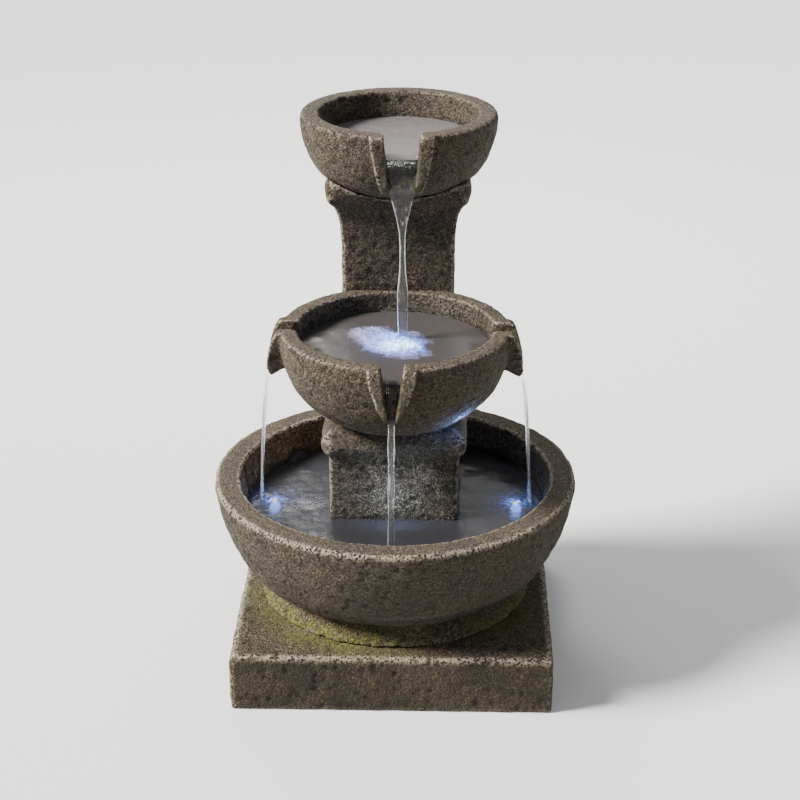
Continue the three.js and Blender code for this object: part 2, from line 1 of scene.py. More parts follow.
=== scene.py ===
"""The tabletop water fountain: cast stone bowls, plinth and column with running water and
lamps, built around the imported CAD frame. Everything is in metres, in the frame's own axes."""

import json
import math

import bmesh
import bpy
import numpy as np
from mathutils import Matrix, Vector

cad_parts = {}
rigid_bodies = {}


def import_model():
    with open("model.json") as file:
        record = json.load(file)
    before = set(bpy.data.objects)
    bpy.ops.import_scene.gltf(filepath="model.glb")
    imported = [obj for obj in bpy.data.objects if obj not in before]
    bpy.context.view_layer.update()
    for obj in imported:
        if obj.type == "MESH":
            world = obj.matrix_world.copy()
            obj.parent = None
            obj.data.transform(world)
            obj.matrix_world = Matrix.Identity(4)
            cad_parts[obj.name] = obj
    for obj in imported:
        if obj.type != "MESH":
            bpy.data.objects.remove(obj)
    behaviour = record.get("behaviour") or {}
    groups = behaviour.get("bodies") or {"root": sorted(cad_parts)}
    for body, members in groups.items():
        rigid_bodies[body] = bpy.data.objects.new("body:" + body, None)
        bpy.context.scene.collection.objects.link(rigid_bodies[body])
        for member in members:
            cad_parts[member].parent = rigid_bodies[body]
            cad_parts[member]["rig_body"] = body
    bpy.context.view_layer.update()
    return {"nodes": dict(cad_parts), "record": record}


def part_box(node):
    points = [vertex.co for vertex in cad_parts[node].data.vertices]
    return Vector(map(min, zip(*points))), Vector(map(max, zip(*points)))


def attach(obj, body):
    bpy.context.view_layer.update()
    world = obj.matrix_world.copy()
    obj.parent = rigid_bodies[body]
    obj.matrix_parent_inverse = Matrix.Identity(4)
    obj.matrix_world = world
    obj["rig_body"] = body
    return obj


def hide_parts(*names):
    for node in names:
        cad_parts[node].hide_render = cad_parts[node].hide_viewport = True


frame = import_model()
NODES = frame["nodes"]
MM = 0.001


def centre_of(node):
    low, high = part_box(node)
    return (low + high) / 2


def top_of(node):
    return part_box(node)[1].z


# Places taken from the frame, and the bowls' own sizes: LIP is a rim's width, POOL the radius of
# the water inside, and CHANNEL half the width of a spout's channel
BASIN_TOP = top_of("lower_basin")
BASIN_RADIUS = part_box("lower_basin")[1].x
BASIN_LIP = 17.3 * MM
BASIN_POOL = 99.6 * MM
BASIN_WATER = BASIN_TOP - 22.6 * MM
MIDDLE_AXIS = centre_of("lamp_lens_middle")
MIDDLE_TOP = top_of("middle_bowl")
MIDDLE_RADIUS = 75.2 * MM
MIDDLE_LIP = 12.1 * MM
MIDDLE_POOL = 61.8 * MM
MIDDLE_CHANNEL = 7 * MM
MIDDLE_WATER = MIDDLE_TOP - 13.4 * MM
TOP_AXIS = centre_of("bowl_fitting")
TOP_TOP = top_of("top_bowl")
TOP_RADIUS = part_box("top_bowl")[1].x
TOP_LIP = 13.1 * MM
TOP_POOL = 51.4 * MM
TOP_CHANNEL = 12 * MM
TOP_WATER = TOP_TOP - 17.5 * MM
TOP_TURN = math.radians(3.2)
MIDDLE_TURNS = (0.0, -math.pi / 2, math.pi / 2)
PLINTH_TOP = top_of("plinth")
FOOT_RADIUS = 91 * MM
CAD_ROUND_STEPS = 48
EDGE_ROUNDS = 7
FULL_EDGE = 0.30 * MM
CHIP_DEPTH = 0.5 * MM
FINE_RELIEF = 0.18 * MM
FOAM = MIDDLE_AXIS + Vector((-5 * MM, 6 * MM, 0))
FOAM_REACH = 30 * MM
FOAM_HEIGHT = 5 * MM
FOAM_GRID = 0.45 * MM
POOL_DEPTH = 3 * MM
SPOUT_DIP = 1.9 * MM
LANDING_WAVE = 5.5 * MM
LANDING_HEIGHT = 0.45 * MM
LANDING_REACH = 9 * MM
LAMP_BLUE = (0.16, 0.32, 1.0)
PALE_BLUE = (0.42, 0.60, 1.0)
WARM = (1.0, 0.92, 0.82)
STUDIO_WHITE = (1.0, 0.98, 0.96)


# ---------------------------------------------------------------- camera

def make_camera():
    data = bpy.data.cameras.new("camera")
    data.lens = 83.09
    data.sensor_width = 36
    data.clip_start = 0.05
    camera = bpy.data.objects.new("camera", data)
    camera.location = (0.0325, -1.109, 0.6601)
    camera.rotation_euler = (math.radians(90 - 23.692), 0, math.radians(1.512))
    bpy.context.scene.collection.objects.link(camera)
    bpy.context.scene.camera = camera


# ---------------------------------------------------------------- repeatable noise

def lattice(x, y, z, seed):
    """A repeatable value from 0 to 1 at each whole-number point."""
    mixed = (x * 374761393 + y * 668265263 + z * 1442695041 + seed * 144665) & 0xFFFFFFFF
    mixed = ((mixed ^ (mixed >> 13)) * 1274126177) & 0xFFFFFFFF
    return ((mixed ^ (mixed >> 16)) & 0xFFFFFF) / 0xFFFFFF


def noise(points, size, seed=0):
    """Smooth noise from -1 to 1 whose features are about size metres across."""
    scaled = points / size
    corner = np.floor(scaled).astype(np.int64)
    share = scaled - corner
    share = share * share * (3 - 2 * share)
    total = np.zeros(len(points))
    for step in np.ndindex(2, 2, 2):
        weight = np.ones(len(points))
        for axis in range(3):
            weight *= share[:, axis] if step[axis] else 1 - share[:, axis]
        total += weight * lattice(*(corner[:, axis] + step[axis] for axis in range(3)), seed)
    return 2 * total - 1


def ramp(values, low, high):
    """0 below low, 1 above high, and smooth between."""
    share = np.clip((values - low) / (high - low), 0, 1)
    return share * share * (3 - 2 * share)


# ---------------------------------------------------------------- shader nodes

class Shader:
    """A material whose nodes are added by short calls: a value may be a number or a socket."""

    def __init__(self, name):
        self.material = bpy.data.materials.new(name)
        self.material.use_nodes = True
        self.tree = self.material.node_tree
        self.bsdf = self.tree.nodes["Principled BSDF"]
        self.output = self.tree.nodes["Material Output"]
        self.place = self.add("ShaderNodeTexCoord").outputs["Object"]

    def add(self, kind, **settings):
        node = self.tree.nodes.new(kind)
        for key, value in settings.items():
            setattr(node, key, value)
        return node

    def set(self, node, key, value):
        socket = node.inputs[key]
        if isinstance(value, bpy.types.NodeSocket):
            self.tree.links.new(value, socket)
        elif isinstance(value, tuple) and len(value) == 3 and socket.type == "RGBA":
            socket.default_value = (*value, 1)
        else:
            socket.default_value = value

    def surface(self, **values):
        for key, value in values.items():
            self.set(self.bsdf, key.replace("_", " "), value)

    def noise(self, size, detail=4.0, roughness=0.55, place=None):
        node = self.add("ShaderNodeTexNoise")
        self.set(node, "Vector", place or self.place)
        self.set(node, "Scale", 1 / size)
        self.set(node, "Detail", detail)
        self.set(node, "Roughness", roughness)
        return node.outputs["Fac"]

    def cells(self, size, feature="F1"):
        node = self.add("ShaderNodeTexVoronoi", feature=feature)
        self.set(node, "Vector", self.place)
        self.set(node, "Scale", 1 / size)
        return node.outputs["Distance"]

    def attribute(self, name):
        return self.add("ShaderNodeAttribute", attribute_name=name).outputs["Fac"]

    def maths(self, operation, a, b=0.0, clamp=False):
        node = self.add("ShaderNodeMath", operation=operation, use_clamp=clamp)
        self.set(node, 0, a)
        self.set(node, 1, b)
        return node.outputs[0]

    def span(self, value, low, high, start=0.0, end=1.0):
        node = self.add("ShaderNodeMapRange", interpolation_type="SMOOTHSTEP")
        for key, number in zip(("Value", "From Min", "From Max", "To Min", "To Max"),
                               (value, low, high, start, end)):
            self.set(node, key, number)
        return node.outputs["Result"]

    def mix(self, share, a, b, blend="MIX"):
        node = self.add("ShaderNodeMix", data_type="RGBA", blend_type=blend)
        self.set(node, 0, share)
        self.set(node, 6, a)
        self.set(node, 7, b)
        return node.outputs[2]

    def bump(self, height, strength, distance, normal=None):
        node = self.add("ShaderNodeBump")
        self.set(node, "Height", height)
        self.set(node, "Strength", strength)
        self.set(node, "Distance", distance)
        if normal:
            self.set(node, "Normal", normal)
        return node.outputs["Normal"]


def stone_material():
    """Cast stone: mottled browns, dark pits, paler worn edges, moss at the foot, dark where wet, painted
    shade with some grime on side faces.
    """
    s = Shader("cast_stone")
    edge, pit, wet = s.attribute("edge"), s.attribute("pit"), s.attribute("wet")
    moss, rim, stain = s.attribute("moss"), s.attribute("rim"), s.attribute("stain")
    grime_and_shade = s.attribute("grime_and_shade")
    broad = s.noise(38 * MM, 5, 0.6)
    grain = s.noise(2.0 * MM, 4, 0.6)
    speck = s.noise(1.5 * MM, 2, 0.5)
    fine = s.noise(0.7 * MM, 3, 0.6)
    colour = s.mix(s.span(broad, 0.38, 0.64), (0.028, 0.020, 0.011), (0.066, 0.048, 0.028))
    patches = s.span(s.noise(12 * MM, 3, 0.6), 0.38, 0.60, 0.45, 1.0)
    speckle = s.maths("MULTIPLY", s.span(grain, 0.51, 0.64, 0, 0.85), patches)
    colour = s.mix(speckle, colour, (0.225, 0.176, 0.108))
    colour = s.mix(s.maths("MULTIPLY", rim, 0.4), colour, (0.086, 0.071, 0.056))
    colour = s.mix(s.span(fine, 0.53, 0.66, 0, 0.8), colour, (0.360, 0.292, 0.190))
    brushed = s.maths("MULTIPLY", s.span(edge, 0.26, 0.80), s.span(speck, 0.40, 0.54))
    colour = s.mix(s.maths("MULTIPLY", brushed, 0.75), colour, (0.46, 0.395, 0.29))
    hollows = s.maths("MAXIMUM", s.maths("MULTIPLY", pit, 0.8), s.span(speck, 0.45, 0.35))
    hollows = s.maths("MULTIPLY", hollows, s.span(rim, 0.0, 1.0, 1.0, 0.75))
    colour = s.mix(s.maths("MULTIPLY", hollows, 0.92), colour, (0.010, 0.007, 0.004))
    # Painted shade with some grime: where the grime mask is high the stone is made darker and browner.
    soiled_and_shaded = s.maths("MULTIPLY", grime_and_shade, s.span(broad, 0.30, 0.62, 0.60, 0.30))
    colour = s.mix(soiled_and_shaded, colour, s.mix(1.0, colour, (0.34, 0.28, 0.20), blend="MULTIPLY"))
    growth = s.maths("MULTIPLY", moss, s.span(s.noise(5 * MM, 5, 0.7), 0.34, 0.60))
    green = s.mix(s.span(fine, 0.38, 0.62), (0.050, 0.058, 0.006), (0.240, 0.250, 0.030))
    colour = s.mix(s.maths("MULTIPLY", growth, 0.85), colour, green)
    colour = s.mix(s.maths("MULTIPLY", wet, 0.70), colour, (0.009, 0.007, 0.005))
    ochre = s.mix(s.span(s.noise(4 * MM, 4), 0.4, 0.62), (0.020, 0.018, 0.008), (0.110, 0.080, 0.024))
    colour = s.mix(s.maths("MULTIPLY", stain, 0.75), colour, ochre)
    rough = s.maths("ADD", s.span(grain, 0.3, 0.7, 0.74, 0.92), s.maths("MULTIPLY", wet, -0.52))
    height = s.maths("ADD", s.maths("MULTIPLY", grain, 0.7), s.maths("MULTIPLY", fine, 0.3))
    height = s.maths("ADD", height, s.maths("MULTIPLY", s.span(speck, 0.33, 0.45), 0.5))
    s.surface(Base_Color=colour, Roughness=rough, Normal=s.bump(height, 1.0, 2.4 * MM))
    s.surface(Specular_IOR_Level=0.45)
    return s.material


def plain_material(name, colour, rough, metal=0.0, size=0.6 * MM, depth=0.06 * MM):
    """A moulded or machined surface with a fine texture and slightly uneven colour."""
    s = Shader(name)
    speckle = s.noise(size, 3)
    worn = s.noise(9 * MM, 4)
    dark = tuple(c * 0.75 for c in colour)
    s.surface(Base_Color=s.mix(s.span(worn, 0.35, 0.65), dark, colour), Metallic=metal)
    s.surface(Roughness=s.span(worn, 0.3, 0.7, rough * 0.85, min(1.0, rough * 1.15)))
    s.surface(Normal=s.bump(speckle, 0.6, depth))
    return s.material


def pool_material(name, colour, clear, rough):
    """Pool water: clear is its share of see-through, and the attribute glow says where it is lit."""
    s = Shader(name)
    ripple = s.noise(8 * MM, 1, 0.4)
    glow = s.attribute("glow")
    streak = s.span(s.noise(3.2 * MM, 4, 0.6), 0.40, 0.62, 0.08, 1.0)
    lit = s.maths("MULTIPLY", glow, streak)
    s.surface(Base_Color=colour, Roughness=s.span(ripple, 0.4, 0.7, rough, rough + 0.06))
    s.surface(Transmission_Weight=clear, IOR=1.33, Normal=s.bump(ripple, 0.20, 1.6 * MM))
    s.surface(Emission_Color=s.mix(s.span(glow, 0.5, 1.0), (0.10, 0.24, 1.0), (0.70, 0.82, 1.0)))
    s.surface(Emission_Strength=s.maths("MULTIPLY", lit, 2.6))
    return s.material


def stream_material():
    """Falling water: clear, with fine folds, and whiter where the painted mask is high: a painted highlight
    along the sheet's sides, and white streaks.
    """
    s = Shader("stream_water")
    fold_and_sheen = s.noise(1.5 * MM, 2, 0.5)
    s.surface(Base_Color=(0.96, 0.98, 1.0), Roughness=s.span(fold_and_sheen, 0.3, 0.7, 0.0, 0.06))
    # Painted highlight and white streaks: the water is less see-through, so whiter, where the painted mask
    # is high.
    white = s.span(s.attribute("fold_and_sheen"), 0.35, 1.0, 0.99, 0.62)
    s.surface(Transmission_Weight=white, IOR=1.33, Normal=s.bump(fold_and_sheen, 0.6, 0.8 * MM))
    return s.material


def foam_material():
    """Foam lit from below: glow says how bright each place is, and body how thick the foam is."""
    s = Shader("foam")
    glow = s.attribute("glow")
    bubbles = s.cells(1.1 * MM)
    froth = s.noise(2.6 * MM, 5, 0.7)
    pale = s.maths("MULTIPLY", s.span(froth, 0.34, 0.56, 0.25, 1.0), s.attribute("body"))
    s.surface(Base_Color=s.mix(pale, (0.105, 0.096, 0.100), (0.29, 0.275, 0.345)))
    s.surface(Roughness=s.span(bubbles, 0.0, 0.6, 0.12, 0.4))
    light = s.maths("MULTIPLY", glow, s.span(froth, 0.36, 0.60, 0.25, 1.0))
    light = s.maths("MULTIPLY", light, s.span(bubbles, 0.1, 0.8, 1.0, 0.5))
    s.surface(Emission_Color=s.mix(s.span(glow, 0.35, 1.0), (0.07, 0.20, 1.0), (0.42, 0.68, 1.0)))
    s.surface(Emission_Strength=s.maths("MULTIPLY", light, 6.5))
    s.surface(Normal=s.bump(s.maths("ADD", bubbles, froth), 0.8, 0.9 * MM))
    return s.material


def lens_material(node, strength):
    """A lit lens: a white core over the chips, and blue light fading out towards its rim."""
    s = Shader(node + "_lit")
    centre = centre_of(node)
    offset = s.add("ShaderNodeVectorMath", operation="SUBTRACT")
    s.set(offset, 0, s.place)
    s.set(offset, 1, (centre.x, centre.y, top_of(node)))
    length = s.add("ShaderNodeVectorMath", operation="LENGTH")
    s.set(length, 0, offset.outputs[0])
    away = length.outputs["Value"]
    core = s.span(away, 1.5 * MM, 5.5 * MM, 1.0, 0.0)
    halo = s.span(away, 3 * MM, 10.5 * MM, 0.22, 0.015)
    s.surface(Base_Color=s.mix(core, (0.10, 0.12, 0.18), (0.85, 0.92, 1.0)), Roughness=0.15)
    s.surface(Emission_Color=s.mix(core, (0.08, 0.20, 1.0), (0.80, 0.90, 1.0)))
    s.surface(Emission_Strength=s.maths("MULTIPLY", s.maths("ADD", core, halo), strength))
    return s.material


# ---------------------------------------------------------------- mesh building

def new_object(name, mesh):
    piece = bpy.data.objects.new(name, mesh)
    bpy.context.scene.collection.objects.link(piece)
    return piece


def mesh_from(name, points, faces):
    mesh = bpy.data.meshes.new(name)
    mesh.from_pydata([tuple(p) for p in points], [], faces)
    mesh.validate()
    mesh.shade_smooth()
    return new_object(name, mesh)


def positions(mesh, key="co"):
    values = np.empty(len(mesh.vertices) * 3, np.float32)
    mesh.vertices.foreach_get(key, values)
    return values.reshape(-1, 3).astype(float)


def move_points(mesh, points):
    mesh.vertices.foreach_set("co", points.astype(np.float32).ravel())
    mesh.update()


def paint(mesh, name, values):
    layer = mesh.attributes.get(name) or mesh.attributes.new(name, "FLOAT", "POINT")
    layer.data.foreach_set("value", np.asarray(values, np.float32))


def relax(points, edges, rounds, share=0.5):
    """Moves each point part of the way to the middle of its neighbours, some rounds over."""
    near, far = edges[:, 0], edges[:, 1]
    count = np.bincount(edges.ravel(), minlength=len(points))[:, None]
    for _ in range(rounds):
        total = np.stack([
            np.bincount(near, points[far, axis], len(points))
            + np.bincount(far, points[near, axis], len(points))
            for axis in range(points.shape[1])
        ], axis=1)
        points = points + share * (total / count - points)
    return points


def round_facets(points, axis):
    """Pushes the flats of a many-sided turned solid out to the circle that its corners lie on."""
    flat = points[:, :2] - np.array([axis.x, axis.y])
    step = 2 * math.pi / CAD_ROUND_STEPS
    angle = np.arctan2(flat[:, 0], -flat[:, 1])
    off_middle = (angle % step) - step / 2
    grown = flat * (np.cos(off_middle) / math.cos(step / 2))[:, None]
    return np.column_stack([grown + np.array([axis.x, axis.y]), points[:, 2]])


def remeshed(node, name, voxel, axis=None):
    """A copy of a CAD solid as an even, fine mesh."""
    mesh = NODES[node].data.copy()
    mesh.materials.clear()
    solid = bmesh.new()
    solid.from_mesh(mesh)
    bmesh.ops.remove_doubles(solid, verts=solid.verts, dist=0.001 * MM)
    solid.to_mesh(mesh)
    solid.free()
    draft = new_object(name + "_draft", mesh)
    modifier = draft.modifiers.new("even", "REMESH")
    modifier.mode = "VOXEL"
    modifier.voxel_size = voxel
    seen = draft.evaluated_get(bpy.context.evaluated_depsgraph_get())
    even = bpy.data.meshes.new_from_object(seen)
    bpy.data.objects.remove(draft)
    even.name = name
    if axis is not None:
        move_points(even, round_facets(positions(even), axis))
    even.shade_smooth()
    return new_object(name, even)


def weather(piece, rounds, wave=0.35 * MM, pits=0.55 * MM, seed=1, rim_z=None):
    """Rounds the edges of a casting, roughens its faces, and paints where it is worn and pitted."""
    mesh = piece.data
    edges = np.empty(len(mesh.edges) * 2, np.int32)
    mesh.edges.foreach_get("vertices", edges)
    edges = edges.reshape(-1, 2)
    sharp = relax(positions(mesh), edges, 2)
    move_points(mesh, sharp)
    normals = positions(mesh, "normal")
    soft = relax(sharp, edges, rounds)
    probe = relax(sharp, edges, EDGE_ROUNDS)
    edge = -np.einsum("ij,ij->i", probe - sharp, normals) / FULL_EDGE
    move_points(mesh, soft)
    normals = positions(mesh, "normal")
    rim = np.zeros(len(soft))
    if rim_z is not None:
        rim = ramp(normals[:, 2], 0.75, 0.95) * ramp(soft[:, 2], rim_z - 3 * MM, rim_z - 1 * MM)
    calm = 1 - 0.6 * rim
    bumps = noise(soft, 9 * MM, seed) + 0.7 * noise(soft, 4.2 * MM, seed + 1)
    holes = ramp(noise(soft, 2.7 * MM, seed + 2), 0.30, 0.70)
    depth = calm * (wave * bumps + FINE_RELIEF * noise(soft, 2.2 * MM, seed + 3) - pits * holes)
    worn = np.clip(relax(edge[:, None], edges, 2)[:, 0], 0, 1)
    chips = worn * CHIP_DEPTH * np.clip(noise(soft, 5 * MM, seed + 4), 0, 1)
    move_points(mesh, soft + normals * (depth - chips)[:, None])
    paint(mesh, "edge", worn)
    paint(mesh, "pit", holes * calm)
    paint(mesh, "rim", rim)
    paint(mesh, "wet", np.zeros(len(soft)))
    paint(mesh, "moss", np.zeros(len(soft)))
    paint(mesh, "stain", np.zeros(len(soft)))
    paint(mesh, "grime_and_shade", np.zeros(len(soft)))
    return soft, normals


def radius_from(points, axis):
    return np.hypot(points[:, 0] - axis.x, points[:, 1] - axis.y)


def finish_casting(piece, node, stone):
    piece.data.materials.append(stone)
    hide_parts(node)
    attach(piece, NODES[node]["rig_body"])


def make_plinth(stone):
    piece = remeshed("plinth", "plinth_cast", 1.35 * MM)
    points, normals = weather(piece, 4, seed=11, wave=0.40 * MM)
    reach = radius_from(points, Vector((0, 0)))
    angle = np.degrees(np.arctan2(points[:, 0], -points[:, 1]))
    band = ramp(reach, FOOT_RADIUS + 26 * MM, FOOT_RADIUS + 1 * MM) * ramp(normals[:, 2], 0.3, 0.8)
    left = ramp(np.abs(angle + 40), 62, 25)
    right = 0.55 * ramp(np.abs(angle - 62), 34, 12)
    patchy = 0.55 + 0.45 * noise(points, 16 * MM, 5)
    paint(piece.data, "moss", np.clip(1.25 * band * np.maximum(left, right) * patchy, 0, 1))
    # Painted shade with some grime: the plinth's upright faces are made darker and browner.
    paint(piece.data, "grime_and_shade", 1.5 * ramp(np.abs(normals[:, 2]), 0.75, 0.30) * (0.85 + 0.3 * patchy))
    finish_casting(piece, "plinth", stone)


def make_basin(stone):
    axis = Vector((0, 0))
    piece = remeshed("lower_basin", "lower_basin_cast", 1.2 * MM, axis)
    points, normals = weather(piece, 6, seed=21, rim_z=BASIN_TOP)
    reach = radius_from(points, axis)
    inside = ramp(reach, BASIN_RADIUS - BASIN_LIP + 1.5 * MM, BASIN_RADIUS - BASIN_LIP - 0.5 * MM)
    inside *= ramp(points[:, 2], 56 * MM, 62 * MM)
    level = BASIN_WATER + 4 * MM + 3 * MM * noise(points, 14 * MM, 7)
    wet = inside * ramp(points[:, 2], level + 2 * MM, level - 2 * MM)
    paint(piece.data, "wet", np.maximum(wet, 0.10 * inside))
    angle = np.degrees(np.arctan2(points[:, 0], -points[:, 1]))
    low = ramp(points[:, 2], PLINTH_TOP + 15 * MM, PLINTH_TOP + 2 * MM)
    sides = np.maximum(ramp(np.abs(angle + 38), 66, 30), 0.6 * ramp(np.abs(angle - 60), 36, 14))
    paint(piece.data, "moss", low * sides * (1 - inside))
    # Painted shade with some grime: the basin's outside is made darker and browner on its side and under
    # faces, most towards the bottom.
    lower = ramp(points[:, 2], BASIN_TOP - 8 * MM, PLINTH_TOP + 18 * MM)
    paint(piece.data, "grime_and_shade", (0.30 + 0.65 * lower) * (1 - inside) * ramp(normals[:, 2], 0.6, 0.1))
    finish_casting(piece, "lower_basin", stone)


def spout_frame(points, axis, angle):
    """How far points lie out along a spout's direction, and to its side."""
    x, y = points[:, 0] - axis.x, points[:, 1] - axis.y
    return x * math.sin(angle) - y * math.cos(angle), x * math.cos(angle) + y * math.sin(angle)


def make_spouted_bowl(node, axis, radius, lip, top, water, spouts, stone, seed):
    piece = remeshed(node, node + "_cast", 0.85 * MM, axis)
    points, normals = weather(piece, 2, seed=seed, rim_z=top, wave=0.26 * MM, pits=0.40 * MM)
    reach = radius_from(points, axis)
    inner = radius - lip
    inside = ramp(reach, inner + 1 * MM, inner - 1 * MM)
    inside *= ramp(normals[:, 2], -0.35, -0.05)
    level = water + 4 * MM + 3 * MM * noise(points, 12 * MM, seed + 8)
    wet = inside * ramp(points[:, 2], level + 2 * MM, level - 2 * MM)
    channel = np.zeros(len(points))
    for angle, wide in spouts:
        out, side = spout_frame(points, axis, angle)
        near = ramp(np.abs(side), wide + 2.5 * MM, wide) * ramp(out, inner - 6 * MM, inner)
        channel = np.maximum(channel, near * ramp(points[:, 2], top - 2 * MM, top - 7 * MM))
    paint(piece.data, "wet", np.maximum(np.maximum(wet, 0.35 * inside), 0.55 * channel))
    paint(piece.data, "stain", channel * (1 - inside))
    finish_casting(piece, node, stone)


def make_upright(node, voxel, stone, seed, water=None):
    piece = remeshed(node, node + "_cast", voxel)
    points, _ = weather(piece, 6, seed=seed, wave=0.3 * MM, pits=0.4 * MM)
    # Painted shade with some grime: the whole upright is made a little darker and browner.
    paint(piece.data, "grime_and_shade", np.full(len(points), 0.45))
    if water is not None:
        line = water + 3 * MM + 2 * MM * noise(points, 10 * MM, seed + 5)
        paint(piece.data, "wet", 0.25 + 0.75 * ramp(points[:, 2], line + 2 * MM, line - 1 * MM))
    finish_casting(piece, node, stone)


# ---------------------------------------------------------------- water

# A fall's course as (distance out from the bowl's axis, height, half width, half thickness), mm
TOP_FALL = [
    (44, 321.2, 11.0, 0.6), (52, 321.7, 9.6, 0.7), (58, 320.1, 9.0, 0.6), (63, 316.5, 8.5, 0.5),
    (68.4, 310.2, 8.1, 0.5), (70.0, 305, 7.8, 0.5), (71.4, 299.7, 6.3, 0.7), (73.4, 288.8, 3.5, 1.1),
    (75.0, 280, 2.1, 1.6), (76.8, 269, 1.8, 1.9), (78.6, 257, 2.1, 1.6), (80.6, 242, 3.5, 1.1),
    (82.6, 226, 3.4, 1.2), (84.6, 210, 2.7, 1.8),
]
SPOUT_FALL = [
    (50, 208.4, 7.0, 0.7), (59, 208.5, 4.9, 0.9), (67, 206.9, 4.2, 1.1), (73.5, 203.8, 3.6, 1.1),
    (79, 198.2, 3.0, 1.1), (82.6, 191.2, 2.1, 1.1), (84.0, 185, 2.0, 1.1), (85.2, 176, 2.3, 1.2),
    (86.3, 164, 1.8, 1.4), (87.4, 150, 2.2, 1.1), (88.4, 134, 1.8, 1.3), (89.3, 116, 2.2, 1.2),
    (90.0, 99, 2.4, 1.6),
]


def smooth_course(course, steps):
    """Points spread evenly along a curve through a course, in metres."""
    course = np.array(course) * MM
    padded = np.vstack([2 * course[0] - course[1], course, 2 * course[-1] - course[-2]])
    found = []
    for u in np.linspace(0, len(course) - 1.0001, steps):
        i = int(u)
        t = u - i
        a, b, c, d = padded[i:i + 4]
        curve = (2 * a - 5 * b + 4 * c - d) * t * t + (3 * b - a - 3 * c + d) * t ** 3
        found.append(0.5 * (2 * b + (c - a) * t + curve))
    return np.array(found)


def make_fall(name, axis, angle, course, material, seed, steps=200, around=36):
    """A sheet of water down a spout's channel that gathers into a falling stream."""
    path = smooth_course(course, steps)
    tangent = np.gradient(path[:, :2], axis=0)
    tangent /= np.linalg.norm(tangent, axis=1)[:, None]
    turn = np.linspace(0, 2 * math.pi, around, endpoint=False)
    points = []
    for (out, height, wide, thick), (along, down) in zip(path, tangent):
        side = wide * np.cos(turn)
        up = thick * np.sin(turn)
        points.append(np.column_stack([side, out - up * down, height + up * along]))
    points = np.vstack(points)
    stretched = points * np.array([1, 1, 0.16])
    folds = 1 + 0.16 * noise(stretched, 1.3 * MM, seed) + 0.18 * noise(stretched, 4 * MM, seed + 1)
    calm = ramp(np.repeat(path[:, 1], around), course[4][1] * MM, course[5][1] * MM)
    folds = folds * (1 - calm) + calm
    middle = np.repeat(np.column_stack([np.zeros(steps), path[:, :2]]), around, axis=0)
    points = middle + (points - middle) * folds[:, None]
    side, out = points[:, 0], points[:, 1]
    placed = np.column_stack([
        axis.x + out * math.sin(angle) + side * math.cos(angle),
        axis.y - out * math.cos(angle) + side * math.sin(angle),
        points[:, 2],
    ])
    faces = [
        (ring + k, ring + (k + 1) % around, ring + around + (k + 1) % around, ring + around + k)
        for ring in range(0, (steps - 1) * around, around) for k in range(around)
    ]
    faces += [tuple(range(around))[::-1], tuple(range((steps - 1) * around, steps * around))]
    piece = mesh_from(name, placed, faces)
    # Painted highlight along the sheet's two sides, and white streaks down the falling part.
    rim = np.tile(np.abs(np.cos(turn)) ** 5, steps)
    streak = ramp(noise(stretched * np.array([1, 1, 0.4]), 1.1 * MM, seed + 2), 0.25, 0.75)
    falling = ramp(np.repeat(path[:, 1], around), course[5][1] * MM, course[6][1] * MM)
    paint(piece.data, "fold_and_sheen", np.maximum(rim, 0.8 * streak) * falling)
    piece.data.materials.append(material)
    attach(piece, "root")


def make_sheet(name, axis, radius, level, height, glow, material, rings=72, around=144):
    """A disc of water with a flat underside. height and glow are functions of its points."""
    reach = radius * np.arange(1, rings + 1)[:, None] / rings
    turn = 2 * math.pi * np.arange(around)[None, :] / around
    flat = np.stack([axis.x + reach * np.cos(turn), axis.y + reach * np.sin(turn)], axis=-1)
    flat = np.vstack([flat.reshape(-1, 2), [[axis.x, axis.y]]])
    points = np.column_stack([flat, np.full(len(flat), level)])
    lit = glow(points)
    points[:, 2] += height(points)
    under = np.column_stack([flat, np.full(len(flat), level - POOL_DEPTH)])
    centre, rim = rings * around, (rings - 1) * around
    faces = []
    for k in range(around):
        after = (k + 1) % around
        faces.append((centre, k, after))
        for a in range(0, rim, around):
            faces.append((a + k, a + around + k, a + around + after, a + after))
    count = len(flat)
    lower = [tuple(count + i for i in reversed(face)) for face in faces]
    wall = [
        (rim + k, count + rim + k, count + rim + (k + 1) % around, rim + (k + 1) % around)
        for k in range(around)
    ]
    piece = mesh_from(name, np.vstack([points, under]), faces + lower + wall)
    paint(piece.data, "glow", np.concatenate([lit, lit * 0]))
    piece.data.materials.append(material)
    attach(piece, "root")


def rings_from(points, places):
    """Small round waves that spread from where each stream lands."""
    total = np.zeros(len(points))
    for x, y in places:
        away = np.hypot(points[:, 0] - x, points[:, 1] - y)
        total += np.sin(away * 2 * math.pi / LANDING_WAVE) * np.exp(-away / LANDING_REACH)
    return total * LANDING_HEIGHT


def dip_to_spout(points, axis, angle, inner, wide):
    """How far the water's surface has sunk where it runs into a spout."""
    out, side = spout_frame(points, axis, angle)
    return SPOUT_DIP * ramp(out, inner - 16 * MM, inner - 3 * MM) * ramp(np.abs(side), wide + 5 * MM, wide)


def near(points, x, y, reach):
    away = np.hypot(points[:, 0] - x, points[:, 1] - y)
    return np.exp(-((away / reach) ** 2))


